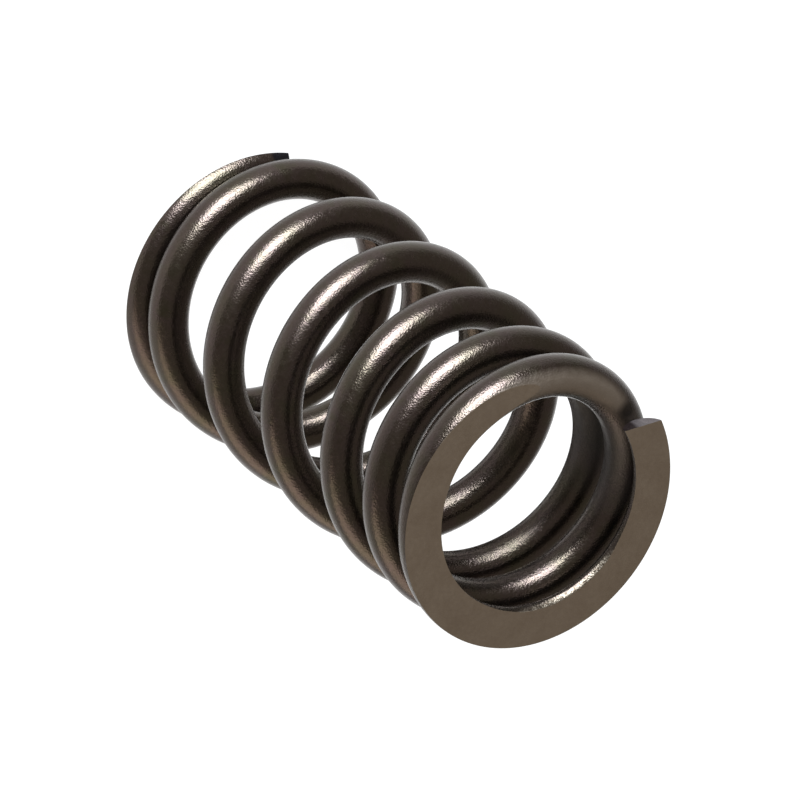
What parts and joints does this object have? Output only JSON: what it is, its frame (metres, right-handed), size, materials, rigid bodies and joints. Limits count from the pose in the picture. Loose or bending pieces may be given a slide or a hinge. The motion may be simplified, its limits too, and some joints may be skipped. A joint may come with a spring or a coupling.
{
  "type": "compression spring",
  "caption": "Round-wire coil compression spring for an engine valve, slightly narrower at one end, with wide middle coils, closer end coils and both ends closed and ground flat",
  "frame": {"origin": "On the coil axis, in the plane of the ground seat end, so the spring stands on z = 0", "axes": "+Z runs along the coil axis from the seat end to the retainer end; the wire's seat-end tip lies at +X, and seen from above the wire climbs anticlockwise"},
  "size_m": [0.0284, 0.0285, 0.0519],
  "materials": {
    "tempered_steel": "satin"
  },
  "bodies": {
    "root": {"valve_spring": "tempered_steel"}
  },
  "joints": []
}
